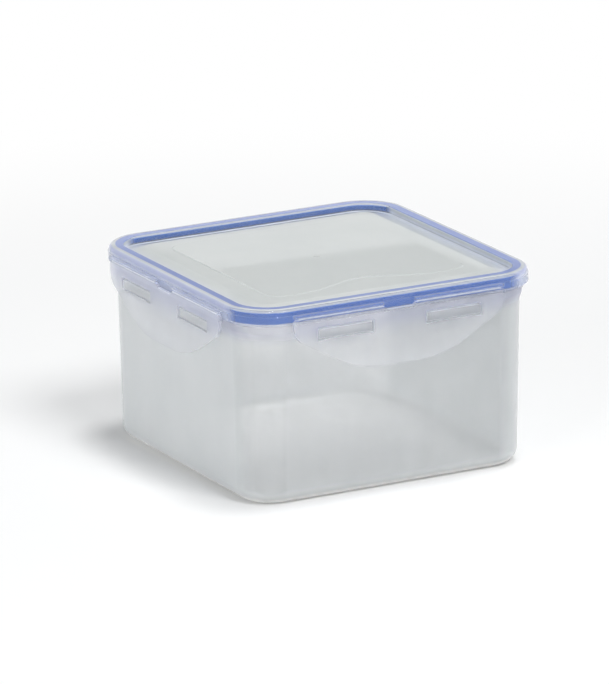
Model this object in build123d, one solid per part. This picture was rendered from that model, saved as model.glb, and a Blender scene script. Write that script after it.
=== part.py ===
from build123d import *
import os
from math import radians, tan

# A square food box with a clip lid: a clear tub, a lid that covers its rim, a soft
# seal in the lid's groove, and four flaps that hang from the lid on thin webs and
# catch on bars of the tub. Millimetres, Z up, origin in the middle of the base.
# A section is drawn with its distance out from the centre first, then its height.

# Tub wall and floor
base_half = 86.9  # half of the outer width at the base
corner_radius = 20.7  # outer corner at the base
wall_draft = 1.1  # lean of the walls in degrees
wall = 1.8
floor_thickness = 2.2
base_round = 9.0  # outer edge between floor and wall
foot_width = 5.4  # flat ring that the box stands on
recess_depth = 0.8  # underside inside that ring
body_height = 94.5  # from the base to the foot of the collar

# Collar and rim of the tub
collar_swell = 1.4  # how far the collar stands out of the wall
collar_flare = 4.2  # height of its lower slope
collar_height = 9.4
collar_round = 3.0
rim_thickness = 2.3
rim_height = 4.5  # above the collar
rim_round = 0.8

# Lid shell
lid_wall = 1.7
plug_gap = 0.7  # inner wall of the lid to the inside of the rim
plug_depth = 3.8  # reach of that wall below the top of the rim
skirt_gap = 0.4  # collar to the lower edge of the skirt
ridge_round = 2.6
shoulder_drop = 3.7  # top of the lid to the shoulder round the skirt
shoulder_step = 0.7
edge_round = 0.8
panel_drop = 4.4  # top of the lid to the edge of its panel
crown_rise = 2.4  # middle of the panel above its edge
moat_width = 2.2
slope_width = 10.0
plateau_margin = 10.0  # slope to the raised field
plateau_rise = 0.5
plateau_corner = 10.0
wave_depth = 12.0  # dip in the front edge of the field
wave_half = 38.0
gate_radius = 2.4  # moulding mark in the middle
gate_rise = 0.25

# Seal
rim_gap = 0.4  # outer lip of the seal to the rim
seal_lip = 2.2
seal_crown = 2.9  # height above the rim
seal_tuck = 0.5  # lip above the lower edge of the skirt
seal_round = 0.6

# Flaps and their webs
flap_gap = 0.3  # skirt to the back of a flap
flap_thickness = 2.0
flap_end_gap = 0.7  # end of a flap to the start of the corner
flap_length = 32.6
flap_edge_round = 0.5
flap_top_corner = 1.5
shoulder_length = 10.9  # straight part of a flap's ends
shoulder_round = 9.0
grip_half = 27.0  # half of the straight lower edge, before its rounding
grip_round = 50.0
grip_flare = 0.9  # how far the grip leans out
flare_start = 16.0  # below the top of the flap
flare_round = 30.0
ledge_thickness = 1.6  # strip of the lid that the webs hang from
web_height = 0.8
web_thickness = 0.4
web_margin = 1.0  # ends of a web to the ends of its strip
notch_half = 9.8  # at the top
notch_lean = 2.0
notch_depth = 1.7  # below the top of the flap
notch_round = 1.4

# Slots, and the bars in them
slot_start = 16.3  # from the middle of the flap
slot_margin = 14.3  # to the end of the flap
slot_drop = 5.9  # below the top of the flap
slot_height = 7.5
slot_round = 0.9
slot_arch = 0.7  # rise of the lower lip at its middle
hook_depth = 1.0  # rib behind the lower lip
hook_height = 2.0
latch_gap = 0.4  # lower lip to the bar above it
bar_height = 5.0
bar_side_gap = 1.0
bar_sink = 0.7  # tip of a bar below the face of the flap
bar_round = 0.9

sides = {"front": 0, "right": 90, "back": 180, "left": 270}

# Places that follow from the sizes
corner_axis = base_half - corner_radius
lean = tan(radians(wall_draft))
collar_top = body_height + collar_height
rim_top = collar_top + rim_height
wall_top_half = base_half + lean * body_height
collar_half = wall_top_half + collar_swell
rim_inner = base_half - wall + lean * rim_top
rim_outer = rim_inner + rim_thickness

groove_inner = rim_inner - plug_gap
groove_outer = rim_outer + rim_gap + seal_lip
groove_top = rim_top + seal_crown
ridge_inner = groove_inner - lid_wall
skirt_half = groove_outer + lid_wall
skirt_bottom = collar_top + skirt_gap
lid_top = groove_top + lid_wall
shoulder_z = lid_top - shoulder_drop
panel_edge_z = lid_top - panel_drop
panel_z = panel_edge_z + crown_rise
slope_outer = ridge_inner - moat_width
slope_inner = slope_outer - slope_width
plateau_half = slope_inner - plateau_margin

flap_back = skirt_half + flap_gap
flap_face = flap_back + flap_thickness
flap_half = corner_axis - flap_end_gap
ledge_bottom = shoulder_z - ledge_thickness
flap_top = ledge_bottom - web_height
flap_bottom = flap_top - flap_length
slot_end = flap_half - slot_margin
slot_top = flap_top - slot_drop
slot_bottom = slot_top - slot_height
bar_bottom = slot_bottom + slot_arch + latch_gap
bar_tip = flap_face - bar_sink

# Upright plane whose first direction points out of the front side
upright = Plane(origin=(0, 0, 0), x_dir=(0, -1, 0), z_dir=(-1, 0, 0))


def outline(points):
    """Closed face through (first, second, radius) points, with no radius where it is left out."""
    corners = [point[:2] for point in points]
    rounds = [point[2] if len(point) > 2 else 0 for point in points]
    return make_face(FilletPolyline(*corners, radius=rounds, close=True))


def square_ring(points):
    """A section carried round the square: four straight sides and four turned corners."""
    section = Pos(corner_axis, 0, 0) * (upright * outline(points))
    turn = Axis((corner_axis, -corner_axis, 0), (0, 0, 1))
    quarter = extrude(section, amount=2 * corner_axis) + revolve(section, axis=turn, revolution_arc=90)
    half = quarter + Rot(0, 0, 90) * quarter
    return half + Rot(0, 0, 180) * half


def square_core(bottom, top):
    """The block inside the four corner axes, which fills a ring's middle."""
    block = Box(2 * corner_axis, 2 * corner_axis, top - bottom)
    return Pos(0, 0, (bottom + top) / 2) * block


def rail(points, start, end):
    """A section run along the front side from one x to another."""
    section = Pos(end, 0, 0) * (upright * outline(points))
    return extrude(section, amount=end - start)


def front_plate(face, depth):
    """A face drawn in x and z, given depth from the centre out through the front."""
    return extrude(Plane.XZ * face, amount=depth)


def both_halves(shape):
    return [shape, mirror(shape, about=Plane.YZ)]


def all_sides(shapes):
    return [Rot(0, 0, angle) * shape for angle in sides.values() for shape in shapes]


def tub():
    inner_base = base_half - wall + lean * floor_thickness
    bar_root = wall_top_half - wall / 2
    foot_inner = base_half - base_round - foot_width
    ring = square_ring([
        (corner_axis, recess_depth),
        (foot_inner - recess_depth, recess_depth, recess_depth / 2),
        (foot_inner, 0, recess_depth / 4),
        (base_half, 0, base_round),
        (wall_top_half, body_height, collar_round),
        (collar_half, body_height + collar_flare, collar_round),
        (collar_half, collar_top - collar_round / 2, collar_round / 3),
        (rim_outer, collar_top, 0),
        (rim_outer, rim_top, rim_round),
        (rim_inner, rim_top, rim_round),
        (inner_base, floor_thickness, base_round - wall),
        (corner_axis, floor_thickness),
    ])
    bar = rail(
        [
            (bar_root, bar_bottom),
            (bar_tip, bar_bottom, bar_round),
            (bar_tip, bar_bottom + bar_height - bar_round, bar_round),
            (bar_root, bar_bottom + bar_height),
        ],
        slot_start + bar_side_gap,
        slot_end - bar_side_gap,
    )
    return ring + square_core(recess_depth, floor_thickness) + all_sides(both_halves(bar))


def notch():
    """The opening in the middle of a flap's top edge and of the ledge above it."""
    floor = flap_top - notch_depth
    low_half = notch_half - notch_lean
    return front_plate(
        outline([
            (-notch_half, shoulder_z + ledge_thickness),
            (-notch_half, flap_top),
            (-low_half, floor, notch_round),
            (low_half, floor, notch_round),
            (notch_half, flap_top),
            (notch_half, shoulder_z + ledge_thickness),
        ]),
        2 * flap_face,
    )


def plateau():
    """The raised field of the panel, with one long dip in its front edge."""
    low = -plateau_half
    dip = Spline(
        (-wave_half, low), (0, low + wave_depth), (wave_half, low),
        tangents=[(1, 0), (1, 0)],
        tangent_scalars=[1.4, 1.4],
    )
    rest = FilletPolyline(
        (wave_half, low), (plateau_half, low), (plateau_half, plateau_half),
        (-plateau_half, plateau_half), (-plateau_half, low), (-wave_half, low),
        radius=plateau_corner,
    )
    field = extrude(make_face(dip + rest), amount=plateau_rise)
    return Pos(0, 0, panel_z) * field


def gate_mark():
    disc = extrude(Circle(gate_radius), amount=gate_rise)
    dimple = extrude(Circle(gate_radius / 2), amount=gate_rise)
    return Pos(0, 0, panel_z + plateau_rise) * (disc - dimple)


def lid():
    step_half = skirt_half - shoulder_step
    ring = square_ring([
        (corner_axis, panel_z),
        (slope_inner, panel_z, slope_width),
        (slope_outer, panel_edge_z, slope_width),
        (ridge_inner, panel_edge_z, edge_round),
        (ridge_inner, lid_top, edge_round),
        (step_half, lid_top, ridge_round),
        (step_half, shoulder_z, shoulder_step / 2),
        (skirt_half, shoulder_z, shoulder_step / 2),
        (skirt_half, skirt_bottom, edge_round),
        (groove_outer, skirt_bottom, seal_tuck / 2),
        (groove_outer, groove_top, seal_round / 2),
        (groove_inner, groove_top, seal_round / 2),
        (groove_inner, rim_top - plug_depth, edge_round),
        (ridge_inner, rim_top - plug_depth, edge_round),
        (ridge_inner, panel_edge_z - lid_wall, edge_round),
        (slope_outer, panel_edge_z - lid_wall, slope_width),
        (slope_inner, panel_z - lid_wall, slope_width),
        (corner_axis, panel_z - lid_wall),
    ])
    ledge = rail(
        [
            (groove_outer + lid_wall / 2, ledge_bottom),
            (flap_face, ledge_bottom),
            (flap_face, shoulder_z, edge_round),
            (groove_outer + lid_wall / 2, shoulder_z),
        ],
        -flap_half,
        flap_half,
    )
    shell = ring + square_core(panel_z - lid_wall, panel_z) + all_sides([ledge - notch()])
    return shell + plateau() + gate_mark()


def seal():
    lip_inner = rim_outer + rim_gap
    return square_ring([
        (groove_inner, rim_top, seal_round),
        (groove_inner, groove_top, seal_round),
        (groove_outer, groove_top, seal_round),
        (groove_outer, skirt_bottom + seal_tuck, seal_round),
        (lip_inner, skirt_bottom + seal_tuck, seal_round),
        (lip_inner, rim_top),
    ])


def slot_cutter():
    middle = (slot_start + slot_end) / 2
    opening = outline([
        (slot_start, slot_bottom, slot_round),
        (slot_end, slot_bottom, slot_round),
        (slot_end, slot_top, slot_round),
        (slot_start, slot_top, slot_round),
    ])
    arch = make_face(
        ThreePointArc((slot_start, slot_bottom), (middle, slot_bottom + slot_arch), (slot_end, slot_bottom))
        + Line((slot_end, slot_bottom), (slot_start, slot_bottom))
    )
    return front_plate(opening - arch, 2 * flap_face)


def flap():
    shape = front_plate(
        outline([
            (-flap_half, flap_top, flap_top_corner),
            (-flap_half, flap_top - shoulder_length, shoulder_round),
            (-grip_half, flap_bottom, grip_round),
            (grip_half, flap_bottom, grip_round),
            (flap_half, flap_top - shoulder_length, shoulder_round),
            (flap_half, flap_top, flap_top_corner),
        ]),
        2 * flap_face,
    )
    bend_z = flap_top - flare_start
    plate = rail(
        [
            (flap_back, flap_top),
            (flap_face, flap_top),
            (flap_face, bend_z, flare_round),
            (flap_face + grip_flare, flap_bottom),
            (flap_back + grip_flare, flap_bottom),
            (flap_back, bend_z, flare_round),
        ],
        -flap_half,
        flap_half,
    )
    hook = rail(
        [
            (flap_back - hook_depth, slot_bottom),
            (flap_back + flap_thickness / 2, slot_bottom),
            (flap_back + flap_thickness / 2, slot_bottom - hook_height),
            (flap_back, slot_bottom - hook_height),
        ],
        slot_start,
        slot_end,
    )
    body = plate & shape
    face_edges = [edge for face in body.faces() if face.normal_at().Y < -0.9 for edge in face.edges()]
    rim = [edge for edge in face_edges if face_edges.count(edge) == 1 and edge.center().Z < flap_top]
    body = fillet(rim, flap_edge_round)
    return body + both_halves(hook) - both_halves(slot_cutter()) - notch()


def web():
    """The thin strip on the right of the notch that joins a flap to the lid's ledge."""
    return rail(
        [
            (flap_face - web_thickness, flap_top),
            (flap_face, flap_top),
            (flap_face, ledge_bottom),
            (flap_face - web_thickness, ledge_bottom),
        ],
        notch_half + web_margin,
        flap_half - flap_top_corner - web_margin,
    )


os.makedirs("parts", exist_ok=True)
export_step(tub(), "parts/tub.step")
export_step(lid(), "parts/lid.step")
export_step(seal(), "parts/seal.step")

front_flap = flap()
front_webs = both_halves(web())
names = list(sides)
for index, side in enumerate(names):
    turn = Rot(0, 0, sides[side])
    export_step(turn * front_flap, f"parts/flap_{side}.step")
    neighbours = (names[(index + 1) % len(names)], names[index - 1])
    for neighbour, front_web in zip(neighbours, front_webs):
        export_step(turn * front_web, f"parts/hinge_web_{side}_{neighbour}.step")
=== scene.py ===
# Clip-lid food box: a clear tub, a clear lid over its rim, a blue seal between them
# and four flaps that hang from the lid. Sizes are millimetres until a mesh is placed.
import math

import bmesh
import bpy
from bmesh.types import BMEdge, BMFace, BMVert
from mathutils import Matrix, Vector


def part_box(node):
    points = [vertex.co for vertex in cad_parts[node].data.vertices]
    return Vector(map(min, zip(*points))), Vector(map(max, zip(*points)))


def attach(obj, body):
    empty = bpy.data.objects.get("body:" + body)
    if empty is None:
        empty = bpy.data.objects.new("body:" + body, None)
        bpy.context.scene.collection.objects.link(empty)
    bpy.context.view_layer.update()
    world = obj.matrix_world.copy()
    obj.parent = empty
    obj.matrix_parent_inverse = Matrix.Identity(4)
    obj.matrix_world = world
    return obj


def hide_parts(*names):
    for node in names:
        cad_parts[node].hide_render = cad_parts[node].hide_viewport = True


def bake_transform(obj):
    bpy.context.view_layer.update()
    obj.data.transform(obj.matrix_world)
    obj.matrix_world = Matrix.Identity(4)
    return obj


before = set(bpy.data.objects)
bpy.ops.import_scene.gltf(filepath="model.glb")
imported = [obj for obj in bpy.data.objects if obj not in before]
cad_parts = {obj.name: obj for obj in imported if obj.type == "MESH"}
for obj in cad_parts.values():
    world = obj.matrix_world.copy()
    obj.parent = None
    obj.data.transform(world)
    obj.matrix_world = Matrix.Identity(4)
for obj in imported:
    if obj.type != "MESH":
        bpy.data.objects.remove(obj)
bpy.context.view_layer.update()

mm = 0.001
weld = 0.001  # points closer than this are one
cutSlack = 0.0005
smoothAngle = 40
sideAngles = {"front": -90, "right": 0, "back": 90, "left": 180}  # turned from the right side


def boxOf(node):
    low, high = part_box(node)
    return low / mm, high / mm


tubHigh = boxOf("tub")[1]
lidLow, lidHigh = boxOf("lid")
sealLow, sealHigh = boxOf("seal")
flapLow, flapHigh = boxOf("flap_front")
webLow, webHigh = boxOf("hinge_web_front_right")

# What several pieces share
fit = {
    "cornerAxis": 66.2,  # the corners turn about this point
    "rimWidth": 2.3,
    "wallReach": 1.5,  # walls this far inside the rim's outer face are still drawn out
    "sealLip": 2.2,
    "rimGap": 0.4,
    "plugGap": 0.7,
    "lidWall": 1.7,
    "flapGap": 0.3,
    "flapThick": 2.0,
    "slotStart": 16.3,
    "slotInset": 14.3,  # flap end to slot end
    "slotDrop": 5.9,
    "slotTall": 7.5,
}
cornerAxis = fit["cornerAxis"]
rimTop = tubHigh.z
rimOuter = sealHigh.x - fit["sealLip"] - fit["rimGap"]
rimInner = rimOuter - fit["rimWidth"]
grooveInner = rimInner - fit["plugGap"]
grooveOuter = sealHigh.x
grooveTop = sealHigh.z
ridgeInner = grooveInner - fit["lidWall"]
skirtHalf = grooveOuter + fit["lidWall"]
skirtBottom = lidLow.z
lidTop = lidHigh.z
flapBack = skirtHalf + fit["flapGap"]
flapFace = flapBack + fit["flapThick"]
flapHalf = flapHigh.x
flapTop = flapHigh.z
flapBottom = flapLow.z
slotEnd = flapHalf - fit["slotInset"]
slotTop = flapTop - fit["slotDrop"]
slotBottom = slotTop - fit["slotTall"]


# Mesh helpers

def only(kind, geom):
    return [item for item in geom if isinstance(item, kind)]


def rimOf(faces):
    # The edges round the outside of some faces
    inside = set(faces)
    edges = dict.fromkeys(edge for face in faces for edge in face.edges)
    return [edge for edge in edges if sum(other in inside for other in edge.link_faces) == 1]


def softenEdges(bm, edges, rounding, steps):
    bmesh.ops.bevel(
        bm, geom=edges, offset=rounding, offset_type="OFFSET", segments=steps, profile=0.5,
        affect="EDGES", material=-1, clamp_overlap=True,
    )


def sideTurn(angle):
    return Matrix.Rotation(math.radians(angle), 3, "Z")


def roundCorner(bm, vert, radius):
    arms = [(edge.other_vert(vert).co - vert.co).normalized() for edge in vert.link_edges]
    turn = math.pi - arms[0].angle(arms[1])
    if radius <= 0 or turn < 0.01:
        return
    steps = max(2, min(10, round(math.degrees(turn) / 10)))
    bmesh.ops.bevel(
        bm, geom=[vert], offset=radius * math.tan(turn / 2), offset_type="OFFSET",
        segments=steps, profile=0.5, affect="VERTICES", material=-1, clamp_overlap=False,
    )


def wire(bm, points, place, closed):
    # points are (first, second) or (first, second, rounding)
    verts = [bm.verts.new(place(point[0], point[1])) for point in points]
    pairs = list(zip(verts, verts[1:] + verts[:1]))
    for pair in pairs if closed else pairs[:-1]:
        bm.edges.new(pair)
    for vert, point in zip(verts, points):
        if len(point) > 2:
            roundCorner(bm, vert, point[2])


def squareSweep(points, stations, cornerSteps, closed):
    # Carries a section round the square, with cuts across each side at the stations
    bm = bmesh.new()
    wire(bm, points, lambda out, up: (out, -cornerAxis, up), closed)
    start = bm.edges[:]
    bmesh.ops.spin(
        bm, geom=bm.verts[:] + start, cent=(cornerAxis, -cornerAxis, 0), axis=(0, 0, 1),
        angle=-math.pi / 2, steps=cornerSteps, use_merge=False,
    )
    cuts = sorted({-y for y in stations} | set(stations) | {cornerAxis})
    rail = start
    last = -cornerAxis
    for cut in cuts:
        made = bmesh.ops.extrude_edge_only(bm, edges=rail)["geom"]
        bmesh.ops.translate(bm, verts=only(BMVert, made), vec=(0, cut - last, 0))
        rail = only(BMEdge, made)
        last = cut
    quarter = bm.verts[:] + bm.edges[:] + bm.faces[:]
    for angle in (90, 180, 270):
        copy = bmesh.ops.duplicate(bm, geom=quarter)["geom"]
        bmesh.ops.rotate(bm, verts=only(BMVert, copy), cent=(0, 0, 0), matrix=sideTurn(angle))
    bmesh.ops.remove_doubles(bm, verts=bm.verts[:], dist=weld)
    return bm


def closeShell(bm):
    openEdges = [edge for edge in bm.edges if edge.is_boundary]
    if openEdges:
        bmesh.ops.holes_fill(bm, edges=openEdges, sides=0)
    bmesh.ops.remove_doubles(bm, verts=bm.verts[:], dist=weld)
    bmesh.ops.recalc_face_normals(bm, faces=bm.faces[:])


def cutLevel(bm, height):
    bmesh.ops.bisect_plane(
        bm, geom=bm.verts[:] + bm.edges[:] + bm.faces[:], dist=cutSlack,
        plane_co=(0, 0, height), plane_no=(0, 0, 1),
    )


def pushOut(bm, angle, low, high, reach, tip, rounding):
    # Draws the faces between two heights of one side's outer wall out to a flat tip
    turn = sideTurn(angle)
    back = turn.inverted()
    picked = []
    for face in bm.faces:
        middle = back @ face.calc_center_median()
        facing = back @ face.normal
        inBand = low < middle.z < high and reach[0] < middle.y < reach[1]
        outward = middle.x > rimOuter - fit["wallReach"] and facing.x > 0.05 and abs(facing.y) < 0.5
        if inBand and outward:
            picked.append(face)
    made = bmesh.ops.extrude_face_region(bm, geom=picked)["geom"]
    for vert in only(BMVert, made):
        local = back @ vert.co
        local.x = tip
        vert.co = turn @ local
    softenEdges(bm, rimOf(only(BMFace, made)), rounding, 3)


def finishMesh(name, bm, material, angle=0):
    # Turns the mesh to its side, scales it to metres and makes the object
    bmesh.ops.rotate(bm, verts=bm.verts[:], cent=(0, 0, 0), matrix=sideTurn(angle))
    bmesh.ops.scale(bm, verts=bm.verts[:], vec=(mm, mm, mm))
    mesh = bpy.data.meshes.new(name)
    bm.to_mesh(mesh)
    bm.free()
    mesh.materials.append(material)
    mesh.shade_smooth()
    mesh.set_sharp_from_angle(angle=math.radians(smoothAngle))
    piece = bpy.data.objects.new(name, mesh)
    bpy.context.scene.collection.objects.link(piece)
    return piece


def weightNormals(piece):
    weighted = piece.modifiers.new("evenShading", "WEIGHTED_NORMAL")
    weighted.keep_sharp = True
    weighted.weight = 80


# Shader helpers

def addNode(tree, kind, place, **values):
    node = tree.nodes.new(kind)
    node.location = place
    for key, value in values.items():
        if hasattr(node, key):
            setattr(node, key, value)
        else:
            node.inputs[key].default_value = value
    return node


def setInputs(node, values):
    for key, value in values.items():
        node.inputs[key].default_value = value


def newGroup(name, inputs, outputs):
    group = bpy.data.node_groups.new(name, "ShaderNodeTree")
    for label, kind, value in inputs:
        socket = group.interface.new_socket(name=label, in_out="INPUT", socket_type=kind)
        if value is not None:
            socket.default_value = value
    for label, kind in outputs:
        group.interface.new_socket(name=label, in_out="OUTPUT", socket_type=kind)
    return group, group.nodes.new("NodeGroupInput"), group.nodes.new("NodeGroupOutput")


def makeCloudGroup():
    # Slow clouds and flow streaks of a moulding, around 0.5
    group, given, result = newGroup(
        "mouldedClouds",
        [("Vector", "NodeSocketVector", None), ("Cloud Scale", "NodeSocketFloat", 18.0),
         ("Streak Scale", "NodeSocketFloat", 90.0), ("Streak Share", "NodeSocketFloat", 0.3)],
        [("Cloud", "NodeSocketFloat")],
    )
    cloud = addNode(group, "ShaderNodeTexNoise", (-300, 200), Detail=3.0, Roughness=0.5)
    stretch = addNode(group, "ShaderNodeVectorMath", (-500, -100), operation="MULTIPLY")
    stretch.inputs[1].default_value = (1.0, 1.0, 0.12)
    streak = addNode(group, "ShaderNodeTexNoise", (-300, -100), Detail=2.0, Roughness=0.6)
    blend = addNode(group, "ShaderNodeMix", (0, 100), data_type="FLOAT")
    link = group.links.new
    link(given.outputs["Vector"], cloud.inputs["Vector"])
    link(given.outputs["Cloud Scale"], cloud.inputs["Scale"])
    link(given.outputs["Vector"], stretch.inputs[0])
    link(stretch.outputs[0], streak.inputs["Vector"])
    link(given.outputs["Streak Scale"], streak.inputs["Scale"])
    link(given.outputs["Streak Share"], blend.inputs["Factor"])
    link(cloud.outputs["Fac"], blend.inputs["A"])
    link(streak.outputs["Fac"], blend.inputs["B"])
    link(blend.outputs["Result"], result.inputs["Cloud"])
    return group


def makeGrainGroup():
    # Fine satin grain as a height, with the roughness that goes with it
    group, given, result = newGroup(
        "satinGrain",
        [("Vector", "NodeSocketVector", None), ("Grain Scale", "NodeSocketFloat", 1600.0),
         ("Low Roughness", "NodeSocketFloat", 0.25), ("High Roughness", "NodeSocketFloat", 0.4)],
        [("Height", "NodeSocketFloat"), ("Roughness", "NodeSocketFloat")],
    )
    grain = addNode(group, "ShaderNodeTexNoise", (-300, 100), Detail=2.0, Roughness=0.5)
    patch = addNode(group, "ShaderNodeTexNoise", (-300, -200), Scale=25.0, Detail=3.0)
    spread = addNode(group, "ShaderNodeMapRange", (0, -200))
    setInputs(spread, {"From Min": 0.3, "From Max": 0.7})
    link = group.links.new
    link(given.outputs["Vector"], grain.inputs["Vector"])
    link(given.outputs["Grain Scale"], grain.inputs["Scale"])
    link(grain.outputs["Fac"], result.inputs["Height"])
    link(given.outputs["Vector"], patch.inputs["Vector"])
    link(patch.outputs["Fac"], spread.inputs["Value"])
    link(given.outputs["Low Roughness"], spread.inputs["To Min"])
    link(given.outputs["High Roughness"], spread.inputs["To Max"])
    link(spread.outputs["Result"], result.inputs["Roughness"])
    return group


def makeReachGroup():
    # Reach past the corner axes, followed round the corners, and height, each as a 0 to 1 ramp
    group, given, result = newGroup(
        "squareReach",
        [("Vector", "NodeSocketVector", None), ("Start", "NodeSocketFloat", 0.017),
         ("End", "NodeSocketFloat", 0.018), ("Low", "NodeSocketFloat", 0.1),
         ("High", "NodeSocketFloat", 0.11)],
        [("Reach", "NodeSocketFloat"), ("Height", "NodeSocketFloat")],
    )
    plus = addNode(group, "ShaderNodeVectorMath", (-900, 0), operation="ABSOLUTE")
    past = addNode(group, "ShaderNodeVectorMath", (-700, 0), operation="SUBTRACT")
    past.inputs[1].default_value = (cornerAxis * mm, cornerAxis * mm, 0)
    outside = addNode(group, "ShaderNodeVectorMath", (-500, 0), operation="MAXIMUM")
    flat = addNode(group, "ShaderNodeVectorMath", (-300, 0), operation="MULTIPLY")
    flat.inputs[1].default_value = (1, 1, 0)
    length = addNode(group, "ShaderNodeVectorMath", (-150, 0), operation="LENGTH")
    split = addNode(group, "ShaderNodeSeparateXYZ", (-500, -200))
    reach = addNode(group, "ShaderNodeMapRange", (0, 100), interpolation_type="SMOOTHSTEP")
    rise = addNode(group, "ShaderNodeMapRange", (0, -200), interpolation_type="SMOOTHSTEP")
    link = group.links.new
    link(given.outputs["Vector"], plus.inputs[0])
    link(plus.outputs[0], past.inputs[0])
    link(past.outputs[0], outside.inputs[0])
    link(outside.outputs[0], flat.inputs[0])
    link(flat.outputs[0], length.inputs[0])
    link(length.outputs["Value"], reach.inputs["Value"])
    link(given.outputs["Start"], reach.inputs["From Min"])
    link(given.outputs["End"], reach.inputs["From Max"])
    link(given.outputs["Vector"], split.inputs[0])
    link(split.outputs["Z"], rise.inputs["Value"])
    link(given.outputs["Low"], rise.inputs["From Min"])
    link(given.outputs["High"], rise.inputs["From Max"])
    link(reach.outputs["Result"], result.inputs["Reach"])
    link(rise.outputs["Result"], result.inputs["Height"])
    return group


def seenRays(tree, place):
    # 1 for the rays that show something to the eye, directly or in a reflection, 0 for lighting
    left, top = place
    path = addNode(tree, "ShaderNodeLightPath", (left, top))
    first = addNode(tree, "ShaderNodeMath", (left + 300, top), operation="MAXIMUM")
    second = addNode(tree, "ShaderNodeMath", (left + 500, top), operation="MAXIMUM")
    tree.links.new(path.outputs["Is Camera Ray"], first.inputs[0])
    tree.links.new(path.outputs["Is Glossy Ray"], first.inputs[1])
    tree.links.new(first.outputs[0], second.inputs[0])
    tree.links.new(path.outputs["Is Transmission Ray"], second.inputs[1])
    return path, second.outputs[0]


cloudGroup = makeCloudGroup()
grainGroup = makeGrainGroup()
reachGroup = makeReachGroup()


def placeGroup(tree, group, place, values):
    node = tree.nodes.new("ShaderNodeGroup")
    node.node_tree = group
    node.location = place
    setInputs(node, values)
    return node


cloudSpan = (0.35, 0.65)  # what the cloud noise mostly keeps to
grainTall = 0.0001


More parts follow.
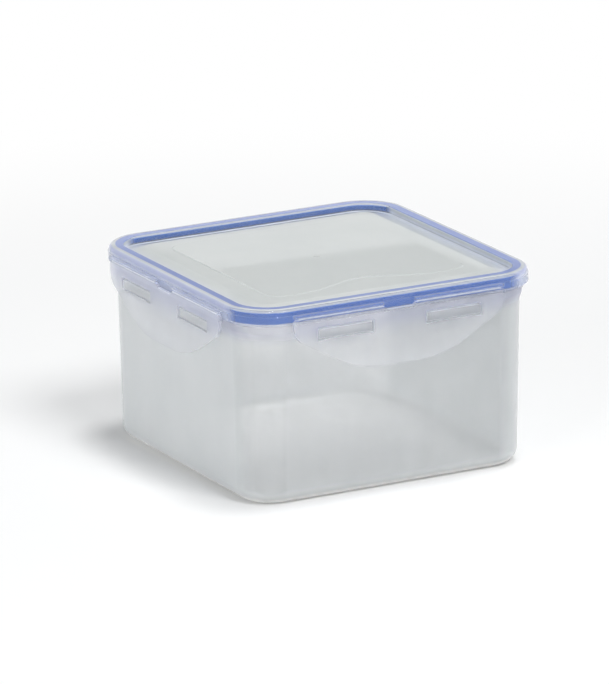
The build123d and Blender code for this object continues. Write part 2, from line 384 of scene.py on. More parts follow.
def clearPlastic(name, look):
    # Translucent moulded plastic: see-through face on, denser where it is seen edge on
    material = bpy.data.materials.new(name)
    material.use_nodes = True
    tree = material.node_tree
    link = tree.links.new
    shader = tree.nodes["Principled BSDF"]
    setInputs(shader, {
        "IOR": 1.49, "Specular IOR Level": look["gloss"], "Subsurface Weight": 1.0,
        "Subsurface Radius": (1.0, 1.0, 1.0), "Subsurface Scale": look["scatter"],
    })
    coords = addNode(tree, "ShaderNodeTexCoord", (-1400, 0))
    clouds = placeGroup(tree, cloudGroup, (-1100, 300), look["clouds"])
    grain = placeGroup(tree, grainGroup, (-1100, 0), look["grain"])
    tint = addNode(tree, "ShaderNodeMix", (-700, 400), data_type="RGBA")
    tint.inputs["A"].default_value = (*look["thinColour"], 1)
    tint.inputs["B"].default_value = (*look["denseColour"], 1)
    facing = addNode(tree, "ShaderNodeLayerWeight", (-1100, -300), Blend=0.5)
    dense = addNode(tree, "ShaderNodeMapRange", (-800, -300))
    setInputs(dense, {
        "From Min": look["turnStart"], "From Max": look["turnEnd"],
        "To Min": look["faceOn"], "To Max": look["edgeOn"],
    })
    haze = addNode(tree, "ShaderNodeMapRange", (-800, -600))
    setInputs(haze, {
        "From Min": cloudSpan[0], "From Max": cloudSpan[1],
        "To Min": -look["haze"], "To Max": look["haze"],
    })
    total = addNode(tree, "ShaderNodeMath", (-500, -400), operation="ADD", use_clamp=True)
    bump = addNode(tree, "ShaderNodeBump", (-500, -100), Strength=look["bump"], Distance=grainTall)
    link(coords.outputs["Object"], clouds.inputs["Vector"])
    link(coords.outputs["Object"], grain.inputs["Vector"])
    link(clouds.outputs["Cloud"], tint.inputs["Factor"])
    colour = tint.outputs["Result"]
    for index, paintedPatch in enumerate(look["paintedLight"]):
        # Painted light, zone by zone: the seal's blue glow seen through the wall, and a lighter tub
        # floor
        where = placeGroup(tree, reachGroup, (-1100, 700 + 300 * index), paintedPatch["zone"])
        area = addNode(tree, "ShaderNodeMath", (-900, 700 + 300 * index), operation="MULTIPLY")
        share = addNode(tree, "ShaderNodeMath", (-700, 700 + 300 * index), operation="MULTIPLY")
        share.inputs[1].default_value = paintedPatch["share"]
        mix = addNode(tree, "ShaderNodeMix", (-300, 700 + 300 * index), data_type="RGBA")
        mix.inputs["B"].default_value = (*paintedPatch["colour"], 1)
        link(coords.outputs["Object"], where.inputs["Vector"])
        link(where.outputs["Reach"], area.inputs[0])
        link(where.outputs["Height"], area.inputs[1])
        link(area.outputs[0], share.inputs[0])
        link(share.outputs[0], mix.inputs["Factor"])
        link(colour, mix.inputs["A"])
        colour = mix.outputs["Result"]
    link(colour, shader.inputs["Base Color"])
    link(facing.outputs["Facing"], dense.inputs["Value"])
    link(clouds.outputs["Cloud"], haze.inputs["Value"])
    link(dense.outputs["Result"], total.inputs[0])
    link(haze.outputs["Result"], total.inputs[1])
    link(grain.outputs["Roughness"], shader.inputs["Roughness"])
    link(grain.outputs["Height"], bump.inputs["Height"])
    link(bump.outputs["Normal"], shader.inputs["Normal"])
    alpha = total.outputs[0]
    for index, seal in enumerate(look["overSeal"]):
        # Where the wall lies against the seal, the seal shows through almost clear
        low = -900 - 500 * index
        zone = placeGroup(tree, reachGroup, (-1100, low), seal["zone"])
        both = addNode(tree, "ShaderNodeMath", (-800, low), operation="MULTIPLY")
        turned = addNode(tree, "ShaderNodeMapRange", (-800, low - 200), interpolation_type="SMOOTHSTEP")
        setInputs(turned, {
            "From Min": seal["turnStart"], "From Max": seal["turnEnd"],
            "To Min": seal["faceOn"], "To Max": seal["edgeOn"],
        })
        choose = addNode(tree, "ShaderNodeMix", (-500, low), data_type="FLOAT")
        link(coords.outputs["Object"], zone.inputs["Vector"])
        link(zone.outputs["Reach"], both.inputs[0])
        link(zone.outputs["Height"], both.inputs[1])
        link(facing.outputs["Facing"], turned.inputs["Value"])
        link(both.outputs[0], choose.inputs["Factor"])
        link(alpha, choose.inputs["A"])
        link(turned.outputs["Result"], choose.inputs["B"])
        alpha = choose.outputs["Result"]
    # How much lamplight goes on through the plastic, against how clear it looks
    path = addNode(tree, "ShaderNodeLightPath", (-500, -1000))
    deeper = addNode(tree, "ShaderNodeMapRange", (-300, -1000))
    setInputs(deeper, {"To Min": 1.0, "To Max": look["lampThrough"]})
    clear = addNode(tree, "ShaderNodeMath", (-150, -700), operation="SUBTRACT")
    clear.inputs[0].default_value = 1.0
    left = addNode(tree, "ShaderNodeMath", (0, -800), operation="MULTIPLY")
    dark = addNode(tree, "ShaderNodeMath", (150, -800), operation="SUBTRACT", use_clamp=True)
    dark.inputs[0].default_value = 1.0
    link(path.outputs["Is Shadow Ray"], deeper.inputs["Value"])
    link(alpha, clear.inputs[1])
    link(clear.outputs[0], left.inputs[0])
    link(deeper.outputs["Result"], left.inputs[1])
    link(left.outputs[0], dark.inputs[1])
    link(dark.outputs[0], shader.inputs["Alpha"])
    return material


def siliconeMaterial(look):
    material = bpy.data.materials.new("blueSilicone")
    material.use_nodes = True
    tree = material.node_tree
    link = tree.links.new
    shader = tree.nodes["Principled BSDF"]
    setInputs(shader, {"IOR": 1.41, "Specular IOR Level": look["gloss"]})
    coords = addNode(tree, "ShaderNodeTexCoord", (-1200, 0))
    clouds = placeGroup(tree, cloudGroup, (-900, 300), look["clouds"])
    grain = placeGroup(tree, grainGroup, (-900, 0), look["grain"])
    tint = addNode(tree, "ShaderNodeMix", (-500, 300), data_type="RGBA")
    tint.inputs["A"].default_value = (*look["deepBlue"], 1)
    tint.inputs["B"].default_value = (*look["paleBlue"], 1)
    bump = addNode(tree, "ShaderNodeBump", (-500, -100), Strength=look["bump"], Distance=2 * grainTall)
    link(coords.outputs["Object"], clouds.inputs["Vector"])
    link(coords.outputs["Object"], grain.inputs["Vector"])
    link(clouds.outputs["Cloud"], tint.inputs["Factor"])
    link(tint.outputs["Result"], shader.inputs["Base Color"])
    link(grain.outputs["Roughness"], shader.inputs["Roughness"])
    link(grain.outputs["Height"], bump.inputs["Height"])
    link(bump.outputs["Normal"], shader.inputs["Normal"])
    return material


# Finishes. Colours are linear. Facing runs from 0, face on, to 1, edge on: between turnStart and
# turnEnd the plastic goes from faceOn to edgeOn, which are how solid it looks. A zone is in metres,
# and it is a falling ramp where its second value is the lower one; -1 to 0 is everywhere.
# Roughness stays clear of 0.27 in the see-through pieces, because the denoiser leaves blotches there.

tubLook = {
    "thinColour": (0.72, 0.75, 0.77),
    "denseColour": (0.77, 0.79, 0.80),
    "faceOn": 0.24,
    "edgeOn": 0.92,
    "turnStart": 0.12,
    "turnEnd": 0.85,
    "haze": 0.02,
    "lampThrough": 0.45,
    "gloss": 0.4,
    "scatter": 0.004,
    "bump": 0.1,
    "clouds": {"Cloud Scale": 16.0, "Streak Scale": 70.0, "Streak Share": 0.15},
    "grain": {"Grain Scale": 1500.0, "Low Roughness": 0.18, "High Roughness": 0.26},
    "paintedLight": [
        # Painted light: the tub's floor, up to 2.4 mm and fading out by 4.5 mm, made lighter and warmer
        # than the walls to stand for light falling into the box
        {"colour": (0.98, 0.96, 0.92), "share": 1.0,
         "zone": {"Start": -1, "End": 0, "Low": 0.0045, "High": 0.0024}},  # floor
        # Painted seal glow and painted shade: the collar from 90 mm up turns a darker lavender,
        # standing for the seal's blue light and the shade under the flaps
        {"colour": (0.52, 0.53, 0.66), "share": 0.8,
         "zone": {"Start": 0.0262, "End": 0.0252, "Low": 0.090, "High": 0.099}},  # collar
    ],
    "overSeal": [],
}
lidLook = {
    "thinColour": (0.63, 0.66, 0.66),
    "denseColour": (0.68, 0.70, 0.69),
    "faceOn": 0.2,
    "edgeOn": 0.88,
    "turnStart": 0.12,
    "turnEnd": 0.75,
    "haze": 0.02,
    "lampThrough": 1.7,
    "gloss": 0.5,
    "scatter": 0.003,
    "bump": 0.004,
    "clouds": {"Cloud Scale": 14.0, "Streak Scale": 60.0, "Streak Share": 0.2},
    "grain": {"Grain Scale": 1500.0, "Low Roughness": 0.015, "High Roughness": 0.03},
    "paintedLight": [
        # Painted glow of the seal: the ridge top, ridge side, skirt and ledge take the seal's blue,
        # which stands for its light seen through the clear lid
        {"colour": (0.20, 0.28, 0.64), "share": 0.85,
         "zone": {"Start": 0.0238, "End": 0.0228, "Low": 0.1120, "High": 0.1126}},  # ridge top
        {"colour": (0.50, 0.53, 0.74), "share": 0.85,
         "zone": {"Start": 0.0250, "End": 0.0262, "Low": 0.1034, "High": 0.1038}},  # ridge side
        {"colour": (0.20, 0.31, 0.70), "share": 0.85,
         "zone": {"Start": 0.0268, "End": 0.0273, "Low": 0.1095, "High": 0.1091}},  # skirt
        {"colour": (0.50, 0.53, 0.74), "share": 0.85,
         "zone": {"Start": 0.0280, "End": 0.0284, "Low": 0.1034, "High": 0.1038}},  # ledge
        # Painted glow of the seal: a pale blue band over the moat and slope beside the ridge
        {"colour": (0.76, 0.80, 0.88), "share": 0.7,
         "zone": {"Start": 0.0080, "End": 0.0180, "Low": 0.1108, "High": 0.1100}},  # moat
    ],
    "overSeal": [
        {"zone": {"Start": 0.0165, "End": 0.0175, "Low": 0.1030, "High": 0.1036},
         "faceOn": 0.10, "edgeOn": 0.85, "turnStart": 0.25, "turnEnd": 0.6},
        {"zone": {"Start": 0.0269, "End": 0.0273, "Low": 0.1100, "High": 0.1096},
         "faceOn": 0.10, "edgeOn": 0.28, "turnStart": 0.3, "turnEnd": 0.6},
    ],
}
flapLook = {
    "thinColour": (0.75, 0.77, 0.81),
    "denseColour": (0.79, 0.80, 0.83),
    "faceOn": 0.16,
    "edgeOn": 0.75,
    "turnStart": 0.2,
    "turnEnd": 0.75,
    "haze": 0.02,
    "lampThrough": 1.25,
    "gloss": 0.5,
    "scatter": 0.003,
    "bump": 0.08,
    "clouds": {"Cloud Scale": 22.0, "Streak Scale": 90.0, "Streak Share": 0.15},
    "grain": {"Grain Scale": 1500.0, "Low Roughness": 0.2, "High Roughness": 0.265},
    "paintedLight": [
        # Painted glow: the flaps take a lavender rising from 86 mm to full at 104 mm, which stands for
        # the seal's blue light and the collar seen through them
        {"colour": (0.60, 0.63, 0.80), "share": 0.6,
         "zone": {"Start": -1, "End": 0, "Low": 0.086, "High": 0.104}},
    ],
    "overSeal": [
        {"zone": {"Start": 0.0165, "End": 0.0175, "Low": 0.1038, "High": 0.1044},
         "faceOn": 0.05, "edgeOn": 0.8, "turnStart": 0.2, "turnEnd": 0.75},
    ],
}
webLook = {
    "thinColour": (0.72, 0.75, 0.82),
    "denseColour": (0.80, 0.83, 0.88),
    "faceOn": 0.5,
    "edgeOn": 0.95,
    "turnStart": 0.1,
    "turnEnd": 0.8,
    "haze": 0.04,
    "lampThrough": 1.0,
    "gloss": 0.5,
    "scatter": 0.002,
    "bump": 0.1,
    "clouds": {"Cloud Scale": 60.0, "Streak Scale": 200.0, "Streak Share": 0.5},
    "grain": {"Grain Scale": 2200.0, "Low Roughness": 0.3, "High Roughness": 0.45},
    "paintedLight": [],
    "overSeal": [],
}
sealLook = {
    "deepBlue": (0.043, 0.148, 0.50),
    "paleBlue": (0.063, 0.188, 0.57),
    "gloss": 0.35,
    "bump": 0.15,
    "clouds": {"Cloud Scale": 40.0, "Streak Scale": 160.0, "Streak Share": 0.4},
    "grain": {"Grain Scale": 2600.0, "Low Roughness": 0.42, "High Roughness": 0.58},
}
tubPlastic = clearPlastic("tubClear", tubLook)
lidPlastic = clearPlastic("lidClear", lidLook)
flapPlastic = clearPlastic("flapClear", flapLook)
webPlastic = clearPlastic("webWhitened", webLook)
sealSilicone = siliconeMaterial(sealLook)
print("finishes made")


# Tub

tubSizes = {
    "baseHalf": 86.9,
    "draft": 1.1,
    "wall": 1.8,
    "floorThick": 2.2,
    "baseRound": 9.0,
    "footWidth": 5.4,
    "recess": 0.8,
    "bodyTall": 94.5,
    "collarSwell": 1.4,
    "collarFlare": 4.2,
    "collarTall": 9.4,
    "collarRound": 3.0,
    "rimRound": 0.8,
    "barTall": 5.0,
    "barSideGap": 1.0,
    "latchGap": 0.4,
    "slotArch": 0.7,
    "barRound": 0.6,
    "cornerSteps": 20,
}


def tubPiece(size):
    lean = math.tan(math.radians(size["draft"]))
    base = size["baseHalf"]
    wallTop = base + lean * size["bodyTall"]
    collar = wallTop + size["collarSwell"]
    collarTop = size["bodyTall"] + size["collarTall"]
    footInner = base - size["baseRound"] - size["footWidth"]
    innerBase = base - size["wall"] + lean * size["floorThick"]
    section = [
        (cornerAxis, size["recess"]),
        (footInner - size["recess"], size["recess"], size["recess"] / 2),
        (footInner, 0, size["recess"] / 4),
        (base, 0, size["baseRound"]),
        (wallTop, size["bodyTall"], size["collarRound"]),
        (collar, size["bodyTall"] + size["collarFlare"], size["collarRound"]),
        (collar, collarTop - size["collarRound"] / 2, size["collarRound"] / 3),
        (rimOuter, collarTop),
        (rimOuter, rimTop, size["rimRound"]),
        (rimInner, rimTop, size["rimRound"]),
        (innerBase, size["floorThick"], size["baseRound"] - size["wall"]),
        (cornerAxis, size["floorThick"]),
    ]
    barStart = fit["slotStart"] + size["barSideGap"]
    barEnd = slotEnd - size["barSideGap"]
    barLow = slotBottom + size["slotArch"] + size["latchGap"]
    barHigh = barLow + size["barTall"]
    bm = squareSweep(section, [barStart, barEnd], size["cornerSteps"], False)
    closeShell(bm)
    cutLevel(bm, barLow)
    cutLevel(bm, barHigh)
    for angle in sideAngles.values():
        for reach in ((barStart, barEnd), (-barEnd, -barStart)):
            pushOut(bm, angle, barLow, barHigh, reach, tubHigh.x, size["barRound"])
    return finishMesh("tubShell", bm, tubPlastic)


tub = tubPiece(tubSizes)
weightNormals(tub)
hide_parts("tub")
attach(tub, "tub")
print("tub made")


# Lid

lidSizes = {
    "ridgeRound": 2.6,
    "shoulderDrop": 3.7,
    "shoulderStep": 0.7,
    "edgeRound": 0.8,
    "panelDrop": 4.4,
    "crownRise": 2.4,
    "moat": 2.2,
    "slope": 10.0,
    "plugDepth": 3.8,
    "grooveRound": 0.3,
    "fieldMargin": 10.0,
    "fieldRise": 0.3,
    "fieldSlope": 0.6,
    "fieldCorner": 10.0,
    "fieldRound": 0.15,
    "fieldDome": 0.45,
    "fieldCuts": 14,
    "waveDepth": 12.0,
    "waveHalf": 38.0,
    "waveSteps": 8,
    "gateRadius": 2.4,
    "gateRise": 0.12,
    "gateSunk": 0.05,
    "gateLip": 0.3,
    "gateBowl": 0.9,
    "gateDimple": -0.1,
    "ledgeThick": 1.6,
    "ledgeRound": 0.5,
    "notchHalf": 9.8,
    "cornerSteps": 24,
}


def fieldOutline(bm, half, size, height):
    # The raised field's outline, with one long dip in its front edge
    wave = size["waveHalf"]
    steps = size["waveSteps"]
    dip = []
    for step in range(1, steps):
        share = step / steps
        lift = size["waveDepth"] * (1 - math.cos(2 * math.pi * share)) / 2
        dip.append((-wave + 2 * wave * share, -half + lift))
    points = [
        (-half, -half, size["fieldCorner"]), (-wave, -half), *dip, (wave, -half),
        (half, -half, size["fieldCorner"]), (half, half, size["fieldCorner"]),
        (-half, half, size["fieldCorner"]),
    ]
    before = set(bm.edges)
    wire(bm, points, lambda x, y: (x, y, height), True)
    return [edge for edge in bm.edges if edge not in before]


def lidPiece(size):
    stepHalf = skirtHalf - size["shoulderStep"]
    shoulder = lidTop - size["shoulderDrop"]
    panelEdge = lidTop - size["panelDrop"]
    panel = panelEdge + size["crownRise"]
    wall = fit["lidWall"]
    slopeOuter = ridgeInner - size["moat"]
    slopeInner = slopeOuter - size["slope"]
    plugBottom = rimTop - size["plugDepth"]
    section = [
        (cornerAxis, panel),
        (slopeInner, panel, size["slope"]),
        (slopeOuter, panelEdge, size["slope"]),
        (ridgeInner, panelEdge, size["edgeRound"]),
        (ridgeInner, lidTop, size["edgeRound"]),
        (stepHalf, lidTop, size["ridgeRound"]),
        (stepHalf, shoulder, size["shoulderStep"] / 2),
        (skirtHalf, shoulder, size["shoulderStep"] / 2),
        (skirtHalf, skirtBottom, size["edgeRound"]),
        (grooveOuter, skirtBottom, size["grooveRound"]),
        (grooveOuter, grooveTop, size["grooveRound"]),
        (grooveInner, grooveTop, size["grooveRound"]),
        (grooveInner, plugBottom, size["edgeRound"]),
        (ridgeInner, plugBottom, size["edgeRound"]),
        (ridgeInner, panelEdge - wall, size["edgeRound"]),
        (slopeOuter, panelEdge - wall, size["slope"]),
        (slopeInner, panel - wall, size["slope"]),
        (cornerAxis, panel - wall),
    ]
    bm = squareSweep(section, [size["notchHalf"], flapHalf], size["cornerSteps"], False)
    # Panel: the flat up to the field's outline, the field's step and its top
    half = slopeInner - size["fieldMargin"]
    hole = [edge for edge in bm.edges if edge.is_boundary and edge.verts[0].co.z > panel - wall / 2]
    outline = fieldOutline(bm, half, size, panel)
    bmesh.ops.triangle_fill(
        bm, use_beauty=True, use_dissolve=True, edges=hole + outline, normal=(0, 0, 1),
    )
    for edge in outline:
        for face in list(edge.link_faces):
            if all(other in outline for other in face.edges):
                bm.faces.remove(face)
    field = bmesh.ops.contextual_create(bm, geom=outline)["faces"]
    bmesh.ops.inset_region(
        bm, faces=field, thickness=size["fieldSlope"], depth=size["fieldRise"], use_even_offset=True,
    )
    raised = [edge for face in field for edge in face.edges]
    softenEdges(bm, outline + raised, size["fieldRound"], 2)
    # The field is cut into a grid and swells a little towards its middle
    fieldTop = panel + size["fieldRise"]
    for axis in ((1, 0, 0), (0, 1, 0)):
        for step in range(1, size["fieldCuts"]):
            place = half * (2 * step / size["fieldCuts"] - 1)
            cut = [face for face in bm.faces if face.calc_center_median().z > fieldTop - 0.01
                   and max(abs(part) for part in face.calc_center_median().xy) < half]
            geom = dict.fromkeys(item for face in cut for item in (face, *face.edges, *face.verts))
            bmesh.ops.bisect_plane(
                bm, geom=list(geom), dist=cutSlack, plane_co=[place * part for part in axis],
                plane_no=axis,
            )
    for vert in bm.verts:
        onField = vert.co.z > fieldTop - 0.01 and abs(vert.co.x) < half and abs(vert.co.y) < half
        if onField:
            vert.co.z += size["fieldDome"] * (1 - (vert.co.y / half) ** 2)
    closeShell(bm)
    # Ledge on each side that carries the flap
    ledgeLow = shoulder - size["ledgeThick"]
    cutLevel(bm, ledgeLow)
    for angle in sideAngles.values():
        for reach in ((size["notchHalf"], flapHalf), (-flapHalf, -size["notchHalf"])):
            pushOut(bm, angle, ledgeLow, shoulder + 0.01, reach, flapFace, size["ledgeRound"])
    # Gate mark in the middle: a low disc with a dimple
    ring = bmesh.ops.create_circle(bm, cap_ends=True, radius=size["gateRadius"], segments=32)["verts"]
    foot = fieldTop + size["fieldDome"] - size["gateSunk"]
    bmesh.ops.translate(bm, verts=ring, vec=(0, 0, foot))
    disc = list(dict.fromkeys(face for vert in ring for face in vert.link_faces))
    lifted = bmesh.ops.extrude_face_region(bm, geom=disc, use_keep_orig=True)["geom"]
    tall = size["gateRise"] + size["gateSunk"]
    bmesh.ops.translate(bm, verts=only(BMVert, lifted), vec=(0, 0, tall))
    for inset, depth in ((size["gateLip"], 0), (size["gateBowl"], size["gateDimple"])):
        bmesh.ops.inset_region(
            bm, faces=only(BMFace, lifted), thickness=inset, depth=depth, use_even_offset=True,
        )
    return finishMesh("lidShell", bm, lidPlastic)


lid = lidPiece(lidSizes)
weightNormals(lid)
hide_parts("lid")
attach(lid, "lid")
print("lid made")


# Seal

sealSizes = {
    "round": 0.6,
    "groovePlay": 0.05,
    "cornerSteps": 24,
}


def sealPiece(size):
    lipInner = rimOuter + fit["rimGap"]
    inner, outer = grooveInner + size["groovePlay"], grooveOuter - size["groovePlay"]
    top, bottom = grooveTop - size["groovePlay"], rimTop + size["groovePlay"]
    section = [
        (inner, bottom, size["round"]),
        (inner, top, size["round"]),
        (outer, top, size["round"]),
        (outer, sealLow.z, size["round"]),
        (lipInner, sealLow.z, size["round"]),
        (lipInner, bottom),
    ]
    bm = squareSweep(section, [], size["cornerSteps"], True)
    bmesh.ops.recalc_face_normals(bm, faces=bm.faces[:])
    return finishMesh("sealRing", bm, sealSilicone)


seal = sealPiece(sealSizes)
weightNormals(seal)
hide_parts("seal")
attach(seal, "lid")
print("seal made")


# Flaps, drawn on the right side with y along it, then turned to their own side

flapSizes = {
    "shoulderLong": 10.9,
    "topCorner": 1.5,
    "shoulderRound": 9.0,
    "gripHalf": 27.0,
    "gripRound": 50.0,
    "gripFlare": 0.86,
    "flareStart": 16.0,
    "flareSoft": 4.0,  # the lean starts gently over this
    "edgeRound": 0.5,
    "notchHalf": 9.8,
    "notchLean": 2.0,
    "notchDeep": 1.7,
    "notchRound": 1.4,
    "slotRound": 0.9,
    "slotFoot": 0.4,
    "slotArch": 0.7,
    "archStep": 6.0,
    "archRise": 0.55,
    "archRound": 12,
    "archTopRound": 40,
    "hookDeep": 1.0,
    "hookTall": 2.0,
    "hookSunk": 0.05,
    "slotEdge": 0.25,
    "bendCuts": 9,
}


def flapPiece(side, size):
    bm = bmesh.new()
    low = size["notchHalf"] - size["notchLean"]
    notchFloor = flapTop - size["notchDeep"]
    half = [
        (low, notchFloor, size["notchRound"]), (size["notchHalf"], flapTop),
        (flapHalf, flapTop, size["topCorner"]),
        (flapHalf, flapTop - size["shoulderLong"], size["shoulderRound"]),
        (size["gripHalf"], flapBottom, size["gripRound"]),
    ]
    outline = half + [(-point[0], *point[1:]) for point in reversed(half)]

    def place(along, up):
        return flapFace, along, up

    wire(bm, outline, place, True)
    middle = (fit["slotStart"] + slotEnd) / 2
    for sign in (1, -1):
        archLow = slotBottom + size["archRise"]
        wire(bm, [
            (sign * fit["slotStart"], slotBottom, size["slotFoot"]),
            (sign * (fit["slotStart"] + size["archStep"]), archLow, size["archRound"]),
            (sign * middle, slotBottom + size["slotArch"], size["archTopRound"]),
            (sign * (slotEnd - size["archStep"]), archLow, size["archRound"]),
            (sign * slotEnd, slotBottom, size["slotFoot"]),
            (sign * slotEnd, slotTop, size["slotRound"]),
            (sign * fit["slotStart"], slotTop, size["slotRound"]),
        ], place, True)
    bmesh.ops.triangle_fill(
        bm, use_beauty=True, use_dissolve=False, edges=bm.edges[:], normal=(1, 0, 0),
    )
    bmesh.ops.dissolve_limit(bm, angle_limit=0.01, verts=bm.verts[:], edges=bm.edges[:])
    bend = flapTop - size["flareStart"]
    cuts = size["bendCuts"]
    for step in range(cuts):
        cutLevel(bm, flapBottom + (bend - flapBottom) * (step + 0.5) / cuts)
    made = bmesh.ops.extrude_face_region(bm, geom=bm.faces[:], use_keep_orig=True)["geom"]
    front = set(only(BMVert, made))
    rear = [vert for vert in bm.verts if vert not in front]
    bmesh.ops.translate(bm, verts=rear, vec=(-fit["flapThick"], 0, 0))
    soft = size["flareSoft"]
    for vert in bm.verts:  # the grip leans out below the bend
        drop = max(0.0, bend - vert.co.z)
        lean = drop * drop / (2 * soft) if drop < soft else drop - soft / 2
        vert.co.x += lean * size["gripFlare"] / (bend - flapBottom - soft / 2)
    outer, slotRim = [], []
    for edge in rimOf(only(BMFace, made)):
        low = min(vert.co.z for vert in edge.verts)
        high = max(vert.co.z for vert in edge.verts)
        out = abs(edge.verts[0].co.y)
        slack = 0.1
        inSlot = slotBottom - slack < low and high < slotTop + slack \
            and fit["slotStart"] - slack < out < slotEnd + slack
        if inSlot:
            slotRim.append(edge)
        elif high < flapTop - 0.01:
            outer.append(edge)
    softenEdges(bm, outer, size["edgeRound"], 3)
    softenEdges(bm, slotRim, size["slotEdge"], 2)
    # Hook ribs behind the lower lip of each slot
    for sign in (1, -1):
        rib = bmesh.ops.create_cube(bm, size=1)["verts"]
        long = slotEnd - fit["slotStart"]
        deep = size["hookDeep"]
        sunk = size["hookSunk"]
        bmesh.ops.scale(bm, verts=rib, vec=(deep + sunk, long, size["hookTall"]))
        bmesh.ops.translate(bm, verts=rib, vec=(
            flapBack - (deep - sunk) / 2, sign * middle, slotBottom - sunk - size["hookTall"] / 2))
    bmesh.ops.recalc_face_normals(bm, faces=bm.faces[:])
    piece = finishMesh(f"flap{side.capitalize()}", bm, flapPlastic, sideAngles[side])
    weightNormals(piece)
    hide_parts(f"flap_{side}")
    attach(piece, f"flap_{side}")
    return piece


for side in sideAngles:
    flapPiece(side, flapSizes)
print("flaps made")


# Living hinges: thin strips between the lid's ledge and a flap's top edge

webSizes = {
    "thick": 0.4,
    "cuts": 5,
}


def webPiece(side, neighbour, sign, size):
    bm = bmesh.new()
    strip = bmesh.ops.create_cube(bm, size=1)["verts"]
    long = webHigh.x - webLow.x
    tall = webHigh.z - webLow.z
    bmesh.ops.scale(bm, verts=strip, vec=(size["thick"], long, tall))
    bmesh.ops.translate(bm, verts=strip, vec=(
        flapFace - size["thick"] / 2, sign * (webLow.x + webHigh.x) / 2, (webLow.z + webHigh.z) / 2))
    upright = [edge for edge in bm.edges if abs(edge.verts[0].co.z - edge.verts[1].co.z) > tall / 2]
    bmesh.ops.subdivide_edges(bm, edges=upright, cuts=size["cuts"], use_grid_fill=True)
    bmesh.ops.recalc_face_normals(bm, faces=bm.faces[:])
    name = f"hinge{side.capitalize()}{neighbour.capitalize()}"
    piece = finishMesh(name, bm, webPlastic, sideAngles[side])
    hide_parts(f"hinge_web_{side}_{neighbour}")
    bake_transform(piece)
    return piece


sideNames = list(sideAngles)
for index, side in enumerate(sideNames):
    webPiece(side, sideNames[(index + 1) % 4], 1, webSizes)
    webPiece(side, sideNames[index - 1], -1, webSizes)
print("hinges made")


# Floor, light and camera

stageSizes = {
    "floorHalf": 6.0,
    "floorDrop": 0.00005,  # clear of the foot ring, which stands on it
    "floorColour": (0.95, 0.95, 0.95),
    "floorGlow": 0.03,  # added for the eye only, so that the lit floor reads white
    "nearFade": 0.35,
    "farFade": 0.75,
    "skyLight": 0.34,
    "skyColour": (0.97, 0.99, 1.0),
    "wallHeight": 0.2655,  # sine of the height at which mirrored rays leave the white wall
    "wallSoft": 0.003,
    "roomLevel": 0.45,
}


def floorPiece(size):
    bm = bmesh.new()
    bmesh.ops.create_grid(bm, x_segments=1, y_segments=1, size=size["floorHalf"])
    bmesh.ops.translate(bm, verts=bm.verts[:], vec=(0, 0, -size["floorDrop"]))
    mesh = bpy.data.meshes.new("floor")
    bm.to_mesh(mesh)
    bm.free()
    floor = bpy.data.objects.new("floor", mesh)
    bpy.context.scene.collection.objects.link(floor)
    material = bpy.data.materials.new("paleFloor")
    material.use_nodes = True
    tree = material.node_tree
    link = tree.links.new
    shader = tree.nodes["Principled BSDF"]
    out = tree.nodes["Material Output"]
    setInputs(shader, {
        "Base Color": (*size["floorColour"], 1), "Roughness": 0.9, "Specular IOR Level": 0.0,
    })
    seen = seenRays(tree, (-600, 600))[1]
    glow = addNode(tree, "ShaderNodeEmission", (0, -200), Strength=size["floorGlow"])
    both = addNode(tree, "ShaderNodeAddShader", (200, 0))
    white = addNode(tree, "ShaderNodeEmission", (200, -300), Strength=1.0)
    coords = addNode(tree, "ShaderNodeTexCoord", (-900, -400))
    length = addNode(tree, "ShaderNodeVectorMath", (-700, -400), operation="LENGTH")
    fade = addNode(tree, "ShaderNodeMapRange", (-500, -400), interpolation_type="SMOOTHSTEP")
    setInputs(fade, {"From Min": size["nearFade"], "From Max": size["farFade"]})
    far = addNode(tree, "ShaderNodeMixShader", (400, 0))
    eye = addNode(tree, "ShaderNodeMixShader", (600, 200))
    link(shader.outputs[0], both.inputs[0])
    link(glow.outputs[0], both.inputs[1])
    link(coords.outputs["Object"], length.inputs[0])
    link(length.outputs["Value"], fade.inputs["Value"])
    link(fade.outputs["Result"], far.inputs["Fac"])
    link(both.outputs[0], far.inputs[1])
    link(white.outputs[0], far.inputs[2])
    link(seen, eye.inputs["Fac"])
    link(shader.outputs[0], eye.inputs[1])
    link(far.outputs[0], eye.inputs[2])
    link(eye.outputs[0], out.inputs["Surface"])
    mesh.materials.append(material)
    return floor


floorPiece(stageSizes)


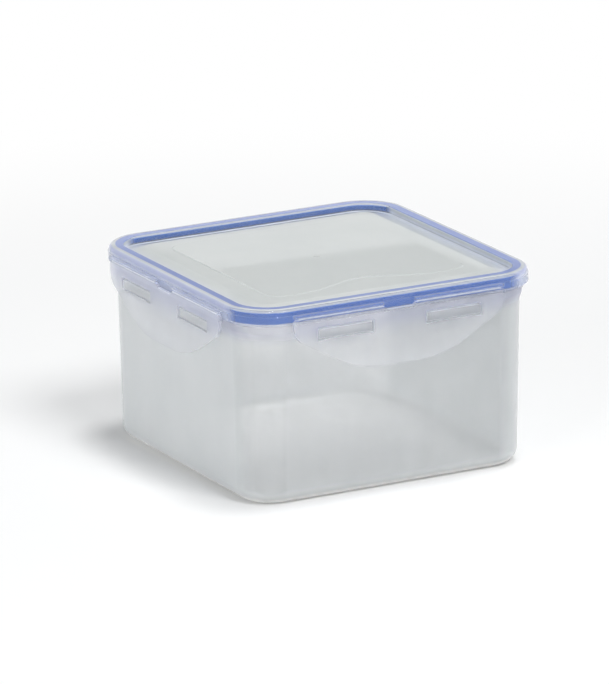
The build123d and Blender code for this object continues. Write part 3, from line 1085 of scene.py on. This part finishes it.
def studioWorld(size):
    # Even light for the piece, and white walls with a darker ceiling for what is seen or mirrored
    world = bpy.data.worlds.new("studio")
    bpy.context.scene.world = world
    world.use_nodes = True
    tree = world.node_tree
    link = tree.links.new
    sky = tree.nodes["Background"]
    setInputs(sky, {"Color": (*size["skyColour"], 1), "Strength": size["skyLight"]})
    path, seen = seenRays(tree, (-600, 400))
    coords = addNode(tree, "ShaderNodeTexCoord", (-900, -400))
    split = addNode(tree, "ShaderNodeSeparateXYZ", (-700, -400))
    ceiling = addNode(tree, "ShaderNodeMapRange", (-500, -400), interpolation_type="SMOOTHSTEP")
    setInputs(ceiling, {
        "From Min": size["wallHeight"] - size["wallSoft"],
        "From Max": size["wallHeight"] + size["wallSoft"],
        "To Min": 0.0, "To Max": 1.0 - size["roomLevel"],
    })
    mirrored = addNode(tree, "ShaderNodeMath", (-300, -400), operation="MULTIPLY")
    level = addNode(tree, "ShaderNodeMath", (-150, -400), operation="SUBTRACT")
    level.inputs[0].default_value = 1.0
    white = addNode(tree, "ShaderNodeBackground", (0, -200))
    mix = addNode(tree, "ShaderNodeMixShader", (300, 0))
    link(coords.outputs["Generated"], split.inputs[0])
    link(split.outputs["Z"], ceiling.inputs["Value"])
    link(ceiling.outputs["Result"], mirrored.inputs[0])
    link(path.outputs["Is Glossy Ray"], mirrored.inputs[1])
    link(mirrored.outputs[0], level.inputs[1])
    link(level.outputs[0], white.inputs["Strength"])
    link(seen, mix.inputs["Fac"])
    link(sky.outputs[0], mix.inputs[1])
    link(white.outputs[0], mix.inputs[2])
    link(mix.outputs[0], tree.nodes["World Output"].inputs["Surface"])


studioWorld(stageSizes)

lampAim = 0.05  # height of the point that every lamp looks at
lampSizes = {
    "front": {"azimuth": 8, "height": 50, "distance": 5.0, "size": 2.2, "power": 104},
    "top": {"azimuth": 70, "height": 83, "distance": 5.0, "size": 1.2, "power": 76},
    "side": {"azimuth": -65, "height": 14, "distance": 5.0, "size": 3.0, "power": 49},
    "eye": {"azimuth": -27, "height": 42, "distance": 5.0, "size": 0.6, "power": 10},
}


def awayFrom(azimuth, height):
    turn, rise = math.radians(azimuth), math.radians(height)
    return Vector((math.sin(turn) * math.cos(rise), -math.cos(turn) * math.cos(rise), math.sin(rise)))


def lamp(name, value):
    data = bpy.data.lights.new(name, "AREA")
    data.shape = "DISK"
    data.size = value["size"]
    data.energy = value["power"]
    light = bpy.data.objects.new(name, data)
    bpy.context.scene.collection.objects.link(light)
    away = awayFrom(value["azimuth"], value["height"])
    light.location = away * value["distance"] + Vector((0, 0, lampAim))
    light.rotation_mode = "QUATERNION"
    light.rotation_quaternion = away.to_track_quat("Z", "Y")


for name, value in lampSizes.items():
    lamp(name, value)

cameraSizes = {
    "azimuth": -28.14,
    "elevation": 16.13,
    "roll": -0.70,
    "distance": 3.72952,
    "aside": -0.00735,
    "aimHeight": 0.06177,
    "focalPixels": 6666.12,
    "imageTall": 684,
    "sensor": 36.0,
}


def placeCamera(value):
    turn, roll = math.radians(value["azimuth"]), math.radians(value["roll"])
    back = awayFrom(value["azimuth"], value["elevation"])
    right = Vector((math.cos(turn), math.sin(turn), 0))
    up = back.cross(right)
    rolledRight = right * math.cos(roll) + up * math.sin(roll)
    rolledUp = up * math.cos(roll) - right * math.sin(roll)
    data = bpy.data.cameras.new("camera")
    data.sensor_width = value["sensor"]
    data.lens = value["focalPixels"] * value["sensor"] / value["imageTall"]
    camera = bpy.data.objects.new("camera", data)
    bpy.context.scene.collection.objects.link(camera)
    target = right * value["aside"] + Vector((0, 0, value["aimHeight"]))
    place = target + back * value["distance"]
    turned = Matrix((rolledRight, rolledUp, back)).transposed().to_4x4()
    camera.matrix_world = Matrix.Translation(place) @ turned
    bpy.context.scene.camera = camera


placeCamera(cameraSizes)

scene = bpy.context.scene
scene.view_settings.view_transform = "Standard"
scene.cycles.transparent_max_bounces = 32  # a ray through the closed box crosses many walls
scene.cycles.caustics_reflective = False
print("floor, light and camera made")
